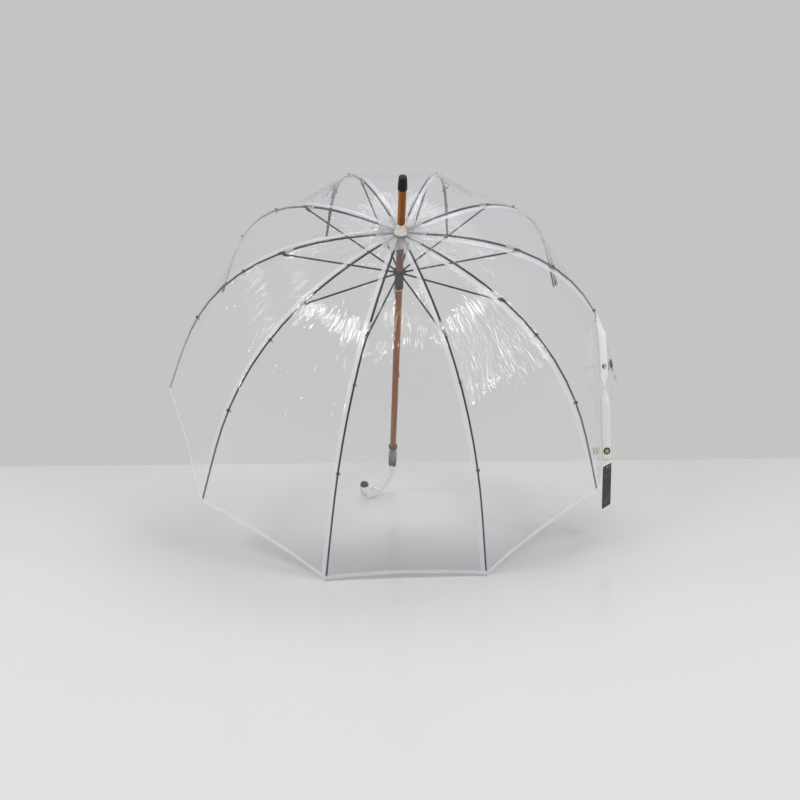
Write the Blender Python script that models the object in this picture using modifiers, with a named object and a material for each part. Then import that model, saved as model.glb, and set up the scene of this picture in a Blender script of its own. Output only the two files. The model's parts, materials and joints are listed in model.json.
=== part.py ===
"""Stick umbrella, open, resting on the tips of two ribs and on the crook of its handle.

Everything is built in the umbrella's own frame: +Z runs up the shaft to the tip, and Z = 0 is the
level of the wire on which the ribs turn. The last step lays that frame on the floor.
"""

import math

import bmesh
import bpy
from mathutils import Matrix, Vector

# Ribs, as arc length from the hinge wire
RIB_COUNT = 10
FIRST_RIB_AZIMUTH = math.radians(-13.0)  # from the front, turning towards +X
HINGE_RADIUS = 0.0095
RIB_LENGTH = 0.5985
SLOPE_AT_HUB = 0.058  # radians below level
SLOPE_AT_RIM = 1.208
SLOPE_RISES_FROM = -0.033
SLOPE_RISES_TO = 0.522
RIB_JOINT = 0.179  # where the two halves of a rib and its stretcher meet
TIP_LENGTH = 0.009
RIB_UPPER_RADIUS = 0.0018
RIB_LOWER_RADIUS = 0.0015
TIP_RADIUS = 0.002

# Joints of the ribs and stretchers
STRETCHER_RADIUS = 0.0015
STRETCHER_DROP = 0.0042  # the stretcher's rivet lies this far under the rib
PLATE_THICKNESS = 0.0012
EYE_RADIUS = 0.0016
EYE_HOLE_RADIUS = 0.00095
LUG_RADIUS = 0.0019
RIVET_HOLE_RADIUS = 0.0008
RIVET_RADIUS = 0.00055
RIVET_LENGTH = 0.0039
FORK_INNER = 0.00095  # half the gap between the ears
FORK_OUTER = 0.00175

# Shaft, ferrule and handle, as heights on the axis
SHAFT_RADIUS = 0.006
SHAFT_TOP = 0.103
SHAFT_BOTTOM = -0.6035
FERRULE_TOP = 0.1075
FERRULE_BOTTOM = 0.0855
FERRULE_FACE_RADIUS = 0.005
COLLAR_TOP = -0.572
COLLAR_FLANGE_BOTTOM = -0.5765
CORE_SHOULDER = -0.628
CORE_BOTTOM = -0.642
CROOK_RADIUS = 0.0085
CROOK_SOCKET_RADIUS = 0.0075
CROOK_STRAIGHT_END = -0.648
CROOK_BEND_RADIUS = 0.041
CROOK_END_LENGTH = 0.022
CROOK_AZIMUTH = math.radians(-42.0)

# Runner and catches
RUNNER_TRAVEL = 0.2695
RUNNER_BORE = 0.0063
RUNNER_RADIUS = 0.0073
CROWN_RADIUS = 0.0105
CROWN_HALF_HEIGHT = 0.0022
RUNNER_COLLAR_RADIUS = 0.0076
RUNNER_COLLAR_HEIGHT = 0.004
RUNNER_BOTTOM = -0.119
RUNNER_RING_HEIGHT = 0.0022
STRETCHER_SLOT = 0.0034
CATCH_THICKNESS = 0.0014
CATCH_REACH = 0.0084
CATCH_LENGTH = 0.0205
CATCH_SLOT_FLOOR = 0.0012
TOP_CATCH_AZIMUTH = math.radians(-103.0)
BOTTOM_CATCH_AZIMUTH = math.radians(77.0)

# Notch that holds the ribs, and what covers it
NOTCH_BORE = 0.0063
NOTCH_FLANGE_RADIUS = 0.0108
NOTCH_TOP = 0.0019
RIB_SLOT = 0.002
WIRE_RADIUS = 0.00045
CUP_BOTTOM = 0.0045
CUP_TOP = 0.021

# Film canopy, as distances from the rib's centreline
CANOPY_LIFT = 0.0028
CANOPY_THICKNESS = 0.0003
CANOPY_HEM = 0.594
CENTRE_HOLE_ARC = -0.0022
ROSETTE_LIFT = 0.0035
ROSETTE_THICKNESS = 0.0004
ROSETTE_ARC = 0.027
ROSETTE_SCALLOP = 0.004

# Closing strap in front of the gore between the third and fourth ribs, and what hangs from it
STRAP_GORE = 2
STRAP_TOP = (0.402, 0.985)  # arc length, and share of the way from the third rib to the fourth
STRAP_END = (0.5877, 0.232)
STRAP_DRIFT = 0.7  # below 1: it leaves its rib fast, then hangs almost plumb
STRAP_TURNS = ((0, 0), (0.1, 45), (0.375, 45), (0.46, -8), (0.56, 60), (1, 60))  # part of its length, degrees
STRAP_WIDTH = 0.016
STRAP_THICKNESS = 0.0007
STRAP_LIFT = 0.0046
STRAP_STAND_OFF = 0.0069  # on top of the lift, so that its turned edge clears the film
STRAP_RISE_PART = 0.1
SOCKET_FROM_END = 0.017
STUD_FRAME = 5  # counted down the strap
TAG_SIZE = (0.038, 0.075, 0.0006)
TAG_HOLE_RADIUS = 0.002
TAG_HOLE_FROM_TOP = 0.004
TAG_LOOP_RADIUS = 0.006
TAG_LOOP_CLEARANCE = 0.0012
TAG_TURN = math.radians(56.0)

GAP = 0.0003
BOOLEAN_MARGIN = 0.002
WELD = 0.00001
TURN_STEPS = 20

VERTICAL = Vector((0, 0, 1))


# ---------------------------------------------------------------- scene, materials


def clear_scene():
    for obj in list(bpy.data.objects):
        bpy.data.objects.remove(obj, do_unlink=True)


def new_collection(name):
    made = bpy.data.collections.new(name)
    bpy.context.scene.collection.children.link(made)
    return made


def material(name, color, roughness, metallic=0.0, transmission=0.0, alpha=1.0):
    made = bpy.data.materials.new(name)
    made.use_nodes = True
    shader = made.node_tree.nodes["Principled BSDF"]
    shader.inputs["Base Color"].default_value = (*color, 1.0)
    shader.inputs["Roughness"].default_value = roughness
    shader.inputs["Metallic"].default_value = metallic
    shader.inputs["Transmission Weight"].default_value = transmission
    shader.inputs["Alpha"].default_value = alpha
    made.diffuse_color = (*color, alpha)
    return made


clear_scene()
PARTS = new_collection("stick_umbrella")
CUTTERS = new_collection("cutters")

WOOD = material("stained_wood", (0.30, 0.11, 0.04), 0.45)
BLACK_STEEL = material("black_steel", (0.012, 0.012, 0.013), 0.35, metallic=0.6)
BLACK_PLASTIC = material("black_plastic", (0.015, 0.015, 0.017), 0.4)
NICKEL = material("nickel", (0.75, 0.72, 0.66), 0.18, metallic=1.0)
BRASS = material("brass", (0.70, 0.52, 0.22), 0.3, metallic=1.0)
SMOKED_PLASTIC = material("smoked_plastic", (0.05, 0.055, 0.06), 0.2)
CLEAR_PLASTIC = material("clear_plastic", (0.85, 0.88, 0.88), 0.06, transmission=1.0)
CLEAR_FILM = material("clear_film", (0.80, 0.81, 0.84), 0.1, transmission=0.9, alpha=0.3)
WHITE_FILM = material("white_film", (0.75, 0.75, 0.72), 0.35)
CARD = material("card", (0.02, 0.02, 0.022), 0.6)
GREY_TAPE = material("grey_tape", (0.05, 0.055, 0.06), 0.6)


def place(name, mesh, parent, finish, location=(0, 0, 0), rotation=(0, 0, 0)):
    """A named part at a place in its parent's frame."""
    obj = bpy.data.objects.new(name, mesh)
    PARTS.objects.link(obj)
    if not mesh.materials:
        mesh.materials.append(finish)
    obj.parent = parent
    obj.location = location
    obj.rotation_euler = rotation
    return obj


def pivot(name, parent, location=(0, 0, 0), rotation=(0, 0, 0)):
    empty = bpy.data.objects.new(name, None)
    PARTS.objects.link(empty)
    empty.empty_display_size = 0.01
    empty.parent = parent
    empty.location = location
    empty.rotation_euler = rotation
    return empty


def cut(target, cutter):
    """Subtracts the cutter from the target and hides it."""
    PARTS.objects.unlink(cutter)
    CUTTERS.objects.link(cutter)
    cutter.hide_render = True
    cutter.display_type = "WIRE"
    boolean = target.modifiers.new("cut_" + cutter.name, "BOOLEAN")
    boolean.operation = "DIFFERENCE"
    boolean.solver = "EXACT"
    boolean.object = cutter


# ---------------------------------------------------------------- meshes


def smooth(mesh):
    mesh.shade_smooth()
    mesh.set_sharp_from_angle(angle=math.radians(35))
    return mesh


def mesh_of(obj):
    """The evaluated mesh of an object that is then removed."""
    bpy.context.view_layer.update()
    graph = bpy.context.evaluated_depsgraph_get()
    mesh = bpy.data.meshes.new_from_object(obj.evaluated_get(graph))
    mesh.transform(obj.matrix_world)
    bpy.data.objects.remove(obj, do_unlink=True)
    return mesh


def welded(mesh):
    bm = bmesh.new()
    bm.from_mesh(mesh)
    bmesh.ops.remove_doubles(bm, verts=bm.verts, dist=WELD)
    bmesh.ops.recalc_face_normals(bm, faces=bm.faces)
    bm.to_mesh(mesh)
    bm.free()
    return mesh


def curve_mesh(name, points, **settings):
    """A mesh from a poly curve, with its caps welded on."""
    curve = bpy.data.curves.new(name, "CURVE")
    for key, value in settings.items():
        setattr(curve, key, value)
    spline = curve.splines.new("POLY")
    spline.points.add(len(points) - 1)
    for point, co in zip(spline.points, points):
        point.co = (*co, 1.0)
    spline.use_cyclic_u = curve.dimensions == "2D"
    holder = bpy.data.objects.new(name, curve)
    bpy.context.scene.collection.objects.link(holder)
    return welded(mesh_of(holder))


def rod(name, points, radius, bevel_resolution=1):
    """A round rod through the points, with flat ends."""
    return curve_mesh(
        name,
        points,
        dimensions="3D",
        bevel_depth=radius,
        bevel_resolution=bevel_resolution,
        use_fill_caps=True,
    )


def plate(name, outline, thickness):
    """A flat plate in the XZ plane, with its middle on Y = 0."""
    flat = curve_mesh(
        name,
        [(x, z, 0.0) for x, z in outline],
        dimensions="2D",
        fill_mode="BOTH",
        extrude=thickness / 2,
    )
    flat.transform(Matrix.Rotation(math.pi / 2, 4, "X"))
    return flat


def lug(name, start, end, radius, thickness, steps=3):
    """A plate with round ends about two points of the XZ plane."""
    along = (Vector(end) - Vector(start)).normalized()
    heading = math.atan2(along.y, along.x)
    outline = []
    for centre, first in ((end, heading - math.pi / 2), (start, heading + math.pi / 2)):
        for step in range(steps + 1):
            angle = first + math.pi * step / steps
            across, up = radius * math.cos(angle), radius * math.sin(angle)
            outline.append((centre[0] + across, centre[1] + up))
    return plate(name, outline, thickness)


def cylinder(name, radius, length, segments=12, centre=(0, 0, 0), axis="Z"):
    bm = bmesh.new()
    bmesh.ops.create_cone(
        bm, cap_ends=True, segments=segments, radius1=radius, radius2=radius, depth=length
    )
    mesh = bpy.data.meshes.new(name)
    bm.to_mesh(mesh)
    bm.free()
    if axis == "Y":
        mesh.transform(Matrix.Rotation(math.pi / 2, 4, "X"))
    mesh.transform(Matrix.Translation(centre))
    return mesh


def block(name, low, high):
    bm = bmesh.new()
    bmesh.ops.create_cube(bm, size=1.0)
    mesh = bpy.data.meshes.new(name)
    bm.to_mesh(mesh)
    bm.free()
    low, high = Vector(low), Vector(high)
    size = high - low
    mesh.transform(Matrix.Translation((low + high) / 2) @ Matrix.Diagonal((*size, 1.0)))
    return mesh


def turned(name, profile, closed=False, segments=TURN_STEPS):
    """A profile of (radius, height) turned about Z. Its outer side runs from top to bottom."""
    mesh = bpy.data.meshes.new(name)
    edges = [(i, i + 1) for i in range(len(profile) - 1)]
    if closed:
        edges.append((len(profile) - 1, 0))
    mesh.from_pydata([(r, 0, z) for r, z in profile], edges, [])
    holder = bpy.data.objects.new(name, mesh)
    bpy.context.scene.collection.objects.link(holder)
    screw = holder.modifiers.new("turn", "SCREW")
    screw.steps = screw.render_steps = segments
    screw.use_merge_vertices = True
    screw.merge_threshold = WELD
    return mesh_of(holder)


def combined(name, base, others, operation):
    """Joins the other meshes to the base, or cuts them from it."""
    holder = bpy.data.objects.new(name, base)
    bpy.context.scene.collection.objects.link(holder)
    helpers = []
    for mesh in others:
        helper = bpy.data.objects.new(mesh.name, mesh)
        bpy.context.scene.collection.objects.link(helper)
        boolean = holder.modifiers.new(mesh.name, "BOOLEAN")
        boolean.operation = operation
        boolean.solver = "EXACT"
        boolean.object = helper
        helpers.append(helper)
    made = mesh_of(holder)
    for helper in helpers:
        bpy.data.objects.remove(helper, do_unlink=True)
    made.name = name
    return made


def ring_of_blocks(name, count, first_azimuth, low, high):
    """Copies of one block about Z, joined in one mesh. The block lies along +X."""
    bm = bmesh.new()
    for index in range(count):
        one = block(name, low, high)
        angle = first_azimuth - math.pi / 2 + 2 * math.pi * index / count
        one.transform(Matrix.Rotation(angle, 4, "Z"))
        bm.from_mesh(one)
        bpy.data.meshes.remove(one)
    mesh = bpy.data.meshes.new(name)
    bm.to_mesh(mesh)
    bm.free()
    return mesh


# ---------------------------------------------------------------- the rib's line


def slope(arc):
    """How far the rib's line points below level, in radians."""
    share = (arc - SLOPE_RISES_FROM) / (SLOPE_RISES_TO - SLOPE_RISES_FROM)
    share = min(max(share, 0.0), 1.0)
    return SLOPE_AT_HUB + (SLOPE_AT_RIM - SLOPE_AT_HUB) * (1 - math.cos(math.pi * share)) / 2


def rib_point(arc, lift=0.0, steps=48):
    """(radius, height) on the rib's line, raised by lift along its outward normal."""
    step = arc / steps
    radius = HINGE_RADIUS + sum(math.cos(slope((i + 0.5) * step)) for i in range(steps)) * step
    height = -sum(math.sin(slope((i + 0.5) * step)) for i in range(steps)) * step
    angle = slope(arc)
    return Vector((radius + lift * math.sin(angle), height + lift * math.cos(angle)))


def rib_azimuth(index):
    return FIRST_RIB_AZIMUTH + 2 * math.pi * index / RIB_COUNT


def outward(azimuth):
    return Vector((math.sin(azimuth), -math.cos(azimuth), 0))


def on_rib(index, arc, lift):
    radius, height = rib_point(arc, lift)
    return outward(rib_azimuth(index)) * radius + VERTICAL * height


def on_gore(index, arc, share, lift):
    """A point of the film between two ribs, stretched straight from one to the other."""
    start = on_rib(index, arc, lift)
    end = on_rib(index + 1, arc, lift)
    return start.lerp(end, share)


def spread(start, end, count):
    return [start + (end - start) * i / (count - 1) for i in range(count)]


JOINT_POINT = rib_point(RIB_JOINT)
JOINT_SLOPE = slope(RIB_JOINT)
RIVET_POINT = rib_point(RIB_JOINT, -STRETCHER_DROP)
# The stretcher is as long as the rib from its hinge to this rivet, so the runner's pivots lie twice
# as low as the rivet.
RUNNER_PIVOT = Vector((HINGE_RADIUS, 2 * RIVET_POINT.y))


# ---------------------------------------------------------------- ribs and stretchers


def local(point, origin):
    """A point of the rib's plane as seen from an origin in that plane, in three dimensions."""
    return (point[0] - origin[0], 0.0, point[1] - origin[1])


def fork(name, heading, rod_start):
    """Two ears about the origin, the block that joins them and the rivet through them."""
    low = (rod_start - 0.0012, -0.00165, -0.0014)
    high = (rod_start + 0.0015, 0.00165, 0.0014)
    base = block(name, low, high)
    parts = []
    for side in (-1, 1):
        ear = lug(name + "_ear", (0, 0), (rod_start, 0), LUG_RADIUS - 0.0003, FORK_OUTER - FORK_INNER)
        ear.transform(Matrix.Translation((0, side * (FORK_INNER + FORK_OUTER) / 2, 0)))
        parts.append(ear)
    parts.append(cylinder(name + "_rivet", RIVET_RADIUS, RIVET_LENGTH, 6, axis="Y"))
    made = combined(name, base, parts, "UNION")
    made.transform(Matrix.Rotation(-heading, 4, "Y"))
    return made


def rib_upper_mesh():
    """Origin on the hinge wire: an eye for the wire, a rod, and a blade with two rivet holes."""
    hinge = Vector((HINGE_RADIUS, 0))
    line = [local(rib_point(arc), hinge) for arc in spread(0.004, RIB_JOINT - 0.003, 7)]
    made = rod("rib_upper", line, RIB_UPPER_RADIUS)
    along = Vector((math.cos(JOINT_SLOPE), -math.sin(JOINT_SLOPE)))
    joint = JOINT_POINT - hinge
    rivet = RIVET_POINT - hinge
    eye_end = (0.0065 * math.cos(SLOPE_AT_HUB), -0.0065 * math.sin(SLOPE_AT_HUB))
    eye = lug("eye", (0, 0), eye_end, EYE_RADIUS, PLATE_THICKNESS)
    blade = lug("blade", joint - along * 0.006, joint, LUG_RADIUS - 0.0003, PLATE_THICKNESS - 0.0001)
    drop = lug("drop", joint, rivet, LUG_RADIUS, PLATE_THICKNESS)
    made = combined("rib_upper", made, [eye, blade, drop], "UNION")
    holes = [
        cylinder("wire_hole", EYE_HOLE_RADIUS, 0.004, 8, axis="Y"),
        cylinder("flex_hole", RIVET_HOLE_RADIUS, 0.004, 6, (joint.x, 0, joint.y), "Y"),
        cylinder("rivet_hole", RIVET_HOLE_RADIUS, 0.004, 6, (rivet.x, 0, rivet.y), "Y"),
    ]
    return smooth(combined("rib_upper", made, holes, "DIFFERENCE"))


def rib_lower_mesh():
    """Origin on the joint of the two halves: a fork, then the rod down to the rim."""
    arcs = spread(RIB_JOINT + 0.005, RIB_LENGTH - TIP_LENGTH, 11)
    line = [local(rib_point(arc), JOINT_POINT) for arc in arcs]
    made = rod("rib_lower", line, RIB_LOWER_RADIUS)
    joint_fork = fork("rib_fork", -JOINT_SLOPE, 0.0055)
    return smooth(combined("rib_lower", made, [joint_fork], "UNION"))


def stretcher_mesh():
    """Origin on the rivet under the rib: a fork, a straight rod, and an eye at the runner."""
    reach = RUNNER_PIVOT - RIVET_POINT
    length = reach.length
    heading = math.atan2(reach.y, reach.x)
    way = reach / length
    ends = [(way.x * d, 0, way.y * d) for d in (0.005, length - 0.0042)]
    made = rod("stretcher", ends, STRETCHER_RADIUS)
    eye = lug("eye", way * (length - 0.0065), way * length, EYE_RADIUS, PLATE_THICKNESS)
    hole = cylinder("hole", EYE_HOLE_RADIUS, 0.004, 8, (reach.x, 0, reach.y), "Y")
    eye = combined("eye", eye, [hole], "DIFFERENCE")
    rivet_fork = fork("stretcher_fork", heading, 0.0055)
    return smooth(combined("stretcher", made, [rivet_fork, eye], "UNION"))


def tip_mesh():
    """A small cap beyond the end of the rib, with its origin on the rib's end, along local +Z."""
    profile = [(0, TIP_LENGTH), (0.0012, TIP_LENGTH - 0.0004), (TIP_RADIUS, TIP_LENGTH - 0.0018)]
    profile += [(TIP_RADIUS, GAP), (0, GAP)]
    return smooth(turned("rib_tip", profile, segments=8))


def add_ribs(umbrella):
    upper, lower = rib_upper_mesh(), rib_lower_mesh()
    stretcher, tip = stretcher_mesh(), tip_mesh()
    rib_end = RIB_LENGTH - TIP_LENGTH
    for index in range(RIB_COUNT):
        number = f"{index + 1:02d}"
        turn = rib_azimuth(index) - math.pi / 2
        plane = pivot("rib_plane_" + number, umbrella, rotation=(0, 0, turn))
        rib = place("rib_upper_" + number, upper, plane, BLACK_STEEL, (HINGE_RADIUS, 0, 0))
        at_joint = local(JOINT_POINT, (HINGE_RADIUS, 0))
        half = place("rib_lower_" + number, lower, rib, BLACK_STEEL, at_joint)
        at_rivet = local(RIVET_POINT, (HINGE_RADIUS, 0))
        place("stretcher_" + number, stretcher, rib, BLACK_STEEL, at_rivet)
        at_tip = local(rib_point(rib_end), JOINT_POINT)
        place("rib_tip_" + number, tip, half, NICKEL, at_tip, (0, math.pi / 2 + slope(rib_end), 0))


# ---------------------------------------------------------------- shaft, ferrule, hub


def add_shaft(umbrella):
    length = SHAFT_TOP - SHAFT_BOTTOM
    middle = (SHAFT_TOP + SHAFT_BOTTOM) / 2
    mesh = smooth(cylinder("shaft", SHAFT_RADIUS, length, 24, (0, 0, middle)))
    shaft = place("shaft", mesh, umbrella, WOOD)
    top_ledge = RUNNER_BOTTOM - 2 * GAP
    slots = (
        ("top_catch_slot", TOP_CATCH_AZIMUTH, top_ledge - CATCH_LENGTH, top_ledge),
        ("bottom_catch_slot", BOTTOM_CATCH_AZIMUTH, bottom_ledge(), bottom_ledge() + CATCH_LENGTH),
    )
    for name, azimuth, low, high in slots:
        half = CATCH_THICKNESS / 2 + GAP
        floor_corner = (CATCH_SLOT_FLOOR, -half, low - 2 * GAP)
        mouth_corner = (SHAFT_RADIUS + BOOLEAN_MARGIN, half, high + 2 * GAP)
        slot = block(name, floor_corner, mouth_corner)
        cutter = place(name, slot, umbrella, WOOD, rotation=(0, 0, azimuth - math.pi / 2))
        cut(shaft, cutter)


def bottom_ledge():
    """The height of the lower catch's ledge, just above the runner when it is closed."""
    return RUNNER_PIVOT.y + RUNNER_COLLAR_HEIGHT - RUNNER_TRAVEL + GAP


def add_catches(umbrella):
    """Two leaf catches in slots of the shaft: a ledge under the open runner, and one over the closed one."""
    lean = 0.0036
    inner, root = 0.0042, 0.0056
    shapes = {
        "top_catch": (TOP_CATCH_AZIMUTH, RUNNER_BOTTOM - 2 * GAP, -1),
        "bottom_catch": (BOTTOM_CATCH_AZIMUTH, bottom_ledge(), 1),
    }
    for name, (azimuth, ledge, way) in shapes.items():
        far = way * CATCH_LENGTH
        outline = [(inner, 0), (CATCH_REACH, 0), (CATCH_REACH, way * lean), (root, far), (inner, far)]
        if way < 0:
            outline.reverse()
        hinge = (0.0049, far * 0.96)
        mesh = plate(name, [(x - hinge[0], z - hinge[1]) for x, z in outline], CATCH_THICKNESS)
        plane = pivot(name + "_plane", umbrella, (0, 0, ledge), (0, 0, azimuth - math.pi / 2))
        place(name, mesh, plane, BRASS, (hinge[0], 0, hinge[1]))


def add_ferrule_cap(umbrella):
    bore = SHAFT_RADIUS + GAP
    outer = [(0, FERRULE_TOP), (FERRULE_FACE_RADIUS, FERRULE_TOP), (0.0062, FERRULE_TOP - 0.0012)]
    outer += [(0.0070, 0.096), (0.0070, FERRULE_BOTTOM)]
    inner = [(bore, FERRULE_BOTTOM), (bore, SHAFT_TOP + GAP), (0, SHAFT_TOP + GAP)]
    mesh = turned("ferrule_cap", outer + inner)
    place("ferrule_cap", smooth(mesh), umbrella, BLACK_PLASTIC)


def add_canopy_cap(umbrella):
    """The bell-shaped metal cup that presses the film down on the hub."""
    height = CUP_TOP - CUP_BOTTOM
    wall = 0.0008
    outline = [(0.0073, 1.0), (0.0078, 0.93), (0.0085, 0.72), (0.0103, 0.42), (0.0120, 0.16)]
    outline.append((0.0126, 0.0))
    outer = [(r, CUP_BOTTOM + height * share) for r, share in outline]
    inner = [(r - wall, z - 0.0001) for r, z in reversed(outer[1:])]
    inner[0] = (outer[-1][0] - wall, CUP_BOTTOM)
    inner.append((SHAFT_RADIUS + GAP, CUP_TOP - 0.0016))
    profile = [(SHAFT_RADIUS + GAP, CUP_TOP)] + outer + inner
    place("canopy_cap", smooth(turned("canopy_cap", profile, closed=True)), umbrella, NICKEL)


def add_notch(umbrella):
    flange, core, collar = NOTCH_FLANGE_RADIUS, 0.0080, 0.0074
    profile = [(NOTCH_BORE, NOTCH_TOP), (flange, NOTCH_TOP), (flange, 0.0009), (core, 0.0009)]
    profile += [(core, -0.0009), (flange, -0.0009), (flange, -0.0026), (collar, -0.0026)]
    profile += [(collar, -0.0075), (NOTCH_BORE, -0.0075)]
    notch = place("top_notch", turned("top_notch", profile, closed=True), umbrella, BLACK_PLASTIC)
    low = (0.0075, -RIB_SLOT / 2, -0.0032)
    high = (flange + BOOLEAN_MARGIN, RIB_SLOT / 2, 0.0032)
    slots = ring_of_blocks("rib_slots", RIB_COUNT, FIRST_RIB_AZIMUTH, low, high)
    cut(notch, place("rib_slots", slots, umbrella, BLACK_PLASTIC))
    wire = torus("hinge_wire", HINGE_RADIUS, WIRE_RADIUS)
    place("hinge_wire", smooth(wire), umbrella, NICKEL)


def torus(name, major, minor, major_segments=20, minor_segments=5):
    bpy.ops.mesh.primitive_torus_add(
        major_radius=major,
        minor_radius=minor,
        major_segments=major_segments,
        minor_segments=minor_segments,
    )
    holder = bpy.context.active_object
    mesh = holder.data
    mesh.name = name
    bpy.data.objects.remove(holder)
    return mesh


# ---------------------------------------------------------------- runner


def add_runner(umbrella):
    slider = pivot("runner_slide", umbrella, (0, 0, RUNNER_PIVOT.y))
    foot = RUNNER_BOTTOM + RUNNER_RING_HEIGHT + GAP - RUNNER_PIVOT.y
    profile = [
        (RUNNER_BORE, RUNNER_COLLAR_HEIGHT),
        (RUNNER_COLLAR_RADIUS, RUNNER_COLLAR_HEIGHT),
        (RUNNER_COLLAR_RADIUS, CROWN_HALF_HEIGHT),
        (CROWN_RADIUS, CROWN_HALF_HEIGHT),
        (CROWN_RADIUS, -CROWN_HALF_HEIGHT),
        (RUNNER_RADIUS, -CROWN_HALF_HEIGHT - 0.0012),
        (RUNNER_RADIUS, foot),
        (RUNNER_BORE, foot),
    ]
    runner = place("runner", turned("runner", profile, closed=True), slider, BLACK_PLASTIC)
    low = (RUNNER_COLLAR_RADIUS + 0.00005, -STRETCHER_SLOT / 2, -0.0035)
    high = (CROWN_RADIUS + BOOLEAN_MARGIN, STRETCHER_SLOT / 2, 0.0032)
    slots = ring_of_blocks("stretcher_slots", RIB_COUNT, FIRST_RIB_AZIMUTH, low, high)
    cut(runner, place("stretcher_slots", slots, slider, BLACK_PLASTIC))
    top, bottom = foot - GAP, RUNNER_BOTTOM - RUNNER_PIVOT.y
    ring = [(RUNNER_BORE, top), (0.0076, top), (0.0076, bottom), (RUNNER_BORE, bottom)]
    place("runner_ring", smooth(turned("runner_ring", ring, closed=True)), slider, NICKEL)


# ---------------------------------------------------------------- handle


def crook_line(steps=16):
    """Points down the axis, round the crook and up to its end."""
    side = outward(CROOK_AZIMUTH)
    points = [VERTICAL * (COLLAR_FLANGE_BOTTOM - GAP)]
    for step in range(steps + 1):
        angle = math.pi * step / steps
        across = CROOK_BEND_RADIUS * (1 - math.cos(angle))
        height = CROOK_STRAIGHT_END - CROOK_BEND_RADIUS * math.sin(angle)
        points.append(side * across + VERTICAL * height)
    points.append(points[-1] + VERTICAL * CROOK_END_LENGTH)
    return points


def add_handle(umbrella):
    floor = SHAFT_BOTTOM - 0.0005
    bore = SHAFT_RADIUS + GAP
    core = CROOK_SOCKET_RADIUS - GAP
    profile = [(0, floor), (bore, floor), (bore, COLLAR_TOP), (0.0088, COLLAR_TOP)]
    profile += [(0.0091, COLLAR_TOP - 0.0012), (0.0086, COLLAR_FLANGE_BOTTOM)]
    profile += [(core, COLLAR_FLANGE_BOTTOM), (core, CORE_SHOULDER)]
    profile += [(0.0050, CORE_BOTTOM + 0.0016), (0, CORE_BOTTOM)]
    place("handle_collar", smooth(turned("handle_collar", profile)), umbrella, SMOKED_PLASTIC)

    mesh = rod("handle_crook", crook_line(), CROOK_RADIUS, bevel_resolution=5)
    crook = place("handle_crook", smooth(mesh), umbrella, CLEAR_PLASTIC)
    wide, taper = CROOK_SOCKET_RADIUS, 0.0053
    socket = [(0, COLLAR_TOP), (wide, COLLAR_TOP), (wide, CORE_SHOULDER)]
    socket += [(taper, CORE_BOTTOM + 0.0014), (0, CORE_BOTTOM - 0.0005)]
    cut(crook, place("crook_socket", turned("crook_socket", socket), umbrella, CLEAR_PLASTIC))


# ---------------------------------------------------------------- film


def film_mesh(name, arcs, lift, steps=1, scallop=0.0):
    """A sheet over all the gores. A scallop lengthens it in the middle of each gore."""
    bm = bmesh.new()
    rows = []
    for row, arc in enumerate(arcs):
        reach = scallop * row / (len(arcs) - 1)
        ring = []
        for index in range(RIB_COUNT):
            for step in range(steps):
                share = step / steps
                bulge = reach * math.sin(math.pi * share) ** 2
                ring.append(bm.verts.new(on_gore(index, arc + bulge, share, lift)))
        rows.append(ring)
    count = RIB_COUNT * steps
    for above, below in zip(rows, rows[1:]):
        for i in range(count):
            j = (i + 1) % count
            bm.faces.new((above[i], below[i], below[j], above[j]))
    mesh = bpy.data.meshes.new(name)
    bm.to_mesh(mesh)
    bm.free()
    return mesh


def add_film(umbrella):
    canopy = film_mesh("canopy", spread(CENTRE_HOLE_ARC, CANOPY_HEM, 17), CANOPY_LIFT)
    thicken(place("canopy", canopy, umbrella, CLEAR_FILM), CANOPY_THICKNESS)
    rosette_arcs = spread(CENTRE_HOLE_ARC, ROSETTE_ARC, 3)
    rosette = film_mesh("rosette", rosette_arcs, ROSETTE_LIFT, 2, ROSETTE_SCALLOP)
    thicken(place("rosette", rosette, umbrella, WHITE_FILM), ROSETTE_THICKNESS)


def thicken(obj, thickness):
    solidify = obj.modifiers.new("thickness", "SOLIDIFY")
    solidify.thickness = thickness
    solidify.offset = 1.0
    solidify.use_even_offset = True


# ---------------------------------------------------------------- strap, snap, tag


def gore_normal(index, arc, share):
    """The outward direction of the film at a point of a gore."""
    small = 0.002
    down = on_gore(index, arc + small, share, 0) - on_gore(index, arc - small, share, 0)
    around = on_gore(index, arc, share + small, 0) - on_gore(index, arc, share - small, 0)
    return down.cross(around).normalized()


def between(stations, place):
    """The value at a place along (place, value) stations, straight from each one to the next."""
    for (start, low), (end, high) in zip(stations, stations[1:]):
        if place <= end:
            return low + (high - low) * (place - start) / (end - start)
    return stations[-1][1]


def strap_frames(count=17):
    """(point, along, across, out) down the strap, which hangs off the film and turns to the front."""
    points, outs = [], []
    for step in range(count):
        part = step / (count - 1)
        arc = STRAP_TOP[0] + (STRAP_END[0] - STRAP_TOP[0]) * part
        share = STRAP_TOP[1] + (STRAP_END[1] - STRAP_TOP[1]) * part**STRAP_DRIFT
        lift = STRAP_LIFT + STRAP_STAND_OFF * min(part / STRAP_RISE_PART, 1.0)
        points.append(on_gore(STRAP_GORE, arc, share, lift))
        outs.append(gore_normal(STRAP_GORE, arc, share))
    frames = []
    for index, point in enumerate(points):
        before = points[max(index - 1, 0)]
        after = points[min(index + 1, len(points) - 1)]
        along = (after - before).normalized()
        out = (outs[index] - along * outs[index].dot(along)).normalized()
        turn = math.radians(between(STRAP_TURNS, index / (count - 1)))
        out = Matrix.Rotation(turn, 3, along) @ out
        frames.append((point, along, along.cross(out), out))
    return frames


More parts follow.
